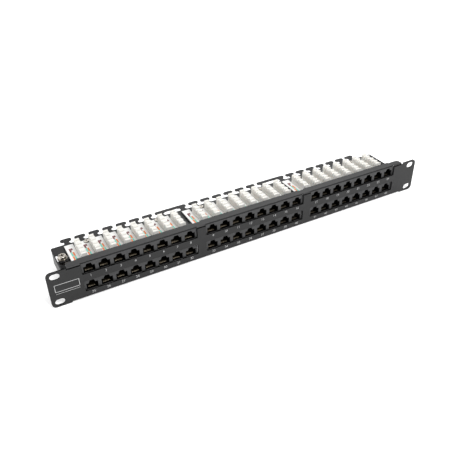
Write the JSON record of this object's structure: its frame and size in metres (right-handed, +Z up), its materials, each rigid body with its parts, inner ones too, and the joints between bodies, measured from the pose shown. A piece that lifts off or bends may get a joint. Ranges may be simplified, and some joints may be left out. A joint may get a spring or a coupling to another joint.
{
  "type": "network patch panel",
  "caption": "One-unit rack patch panel with two rows of modular jacks, punch-down blocks behind them, a rear cable-tie comb and an earthing screw.",
  "frame": {"origin": "centre of the four rack slots, on the front face of the panel's ears", "axes": "+X along the panel, to the right as seen from in front; +Y back from the front face, along the rack screws; +Z up"},
  "size_m": [0.4826, 0.076, 0.0436],
  "materials": {
    "panel_paint": "fine-textured black powder coat",
    "board_black": "glass-epoxy board with black solder mask",
    "jack_plastic": "moulded black plastic",
    "contact_gold": "gold-flashed phosphor bronze",
    "block_plastic": "moulded off-white plastic",
    "clip_metal": "tinned bronze",
    "label_film": "printed white film with colour-code squares",
    "nickel": "nickel-plated steel",
    "zinc": "zinc-plated steel"
  },
  "bodies": {
    "panel": {"faceplate": "panel_paint", "inner_frame": "panel_paint", "tray": "panel_paint", "board_upper_left": "board_black", "jack_housing_upper_left": "jack_plastic", "jack_inserts_upper_left": "jack_plastic", "jack_contacts_upper_left": "contact_gold", "punch_blocks_upper_left": "block_plastic", "idc_clips_upper_left": "clip_metal", "wiring_labels_upper_left": "label_film", "board_lower_left": "board_black", "jack_housing_lower_left": "jack_plastic", "jack_inserts_lower_left": "jack_plastic", "jack_contacts_lower_left": "contact_gold", "punch_blocks_lower_left": "block_plastic", "idc_clips_lower_left": "clip_metal", "wiring_labels_lower_left": "label_film", "board_upper_centre": "board_black", "jack_housing_upper_centre": "jack_plastic", "jack_inserts_upper_centre": "jack_plastic", "jack_contacts_upper_centre": "contact_gold", "punch_blocks_upper_centre": "block_plastic", "idc_clips_upper_centre": "clip_metal", "wiring_labels_upper_centre": "label_film", "board_lower_centre": "board_black", "jack_housing_lower_centre": "jack_plastic", "jack_inserts_lower_centre": "jack_plastic", "jack_contacts_lower_centre": "contact_gold", "punch_blocks_lower_centre": "block_plastic", "idc_clips_lower_centre": "clip_metal", "wiring_labels_lower_centre": "label_film", "board_upper_right": "board_black", "jack_housing_upper_right": "jack_plastic", "jack_inserts_upper_right": "jack_plastic", "jack_contacts_upper_right": "contact_gold", "punch_blocks_upper_right": "block_plastic", "idc_clips_upper_right": "clip_metal", "wiring_labels_upper_right": "label_film", "board_lower_right": "board_black", "jack_housing_lower_right": "jack_plastic", "jack_inserts_lower_right": "jack_plastic", "jack_contacts_lower_right": "contact_gold", "punch_blocks_lower_right": "block_plastic", "idc_clips_lower_right": "clip_metal", "wiring_labels_lower_right": "label_film", "module_screws": "nickel", "module_nuts": "nickel", "module_spacers": "nickel", "ground_nut": "zinc"},
    "ground_washer": {"ground_washer": "zinc"},
    "ground_screw": {"ground_screw": "zinc"}
  },
  "joints": [
    {"name": "ground_screw_lift", "type": "slide", "parent": "panel", "child": "ground_washer", "axis": [0, 0, 1], "range_m": [0, 0.0032]},
    {"name": "ground_screw_turn", "type": "hinge", "parent": "ground_washer", "child": "ground_screw", "pos_m": [-0.2153, 0.0412, 0.0056], "axis": [0, 0, 1], "range_deg": [0, 1440]}
  ],
  "couplings": [
    {"joint": "ground_screw_turn", "follows": "ground_screw_lift", "rad_per_m": 7853.9}
  ]
}
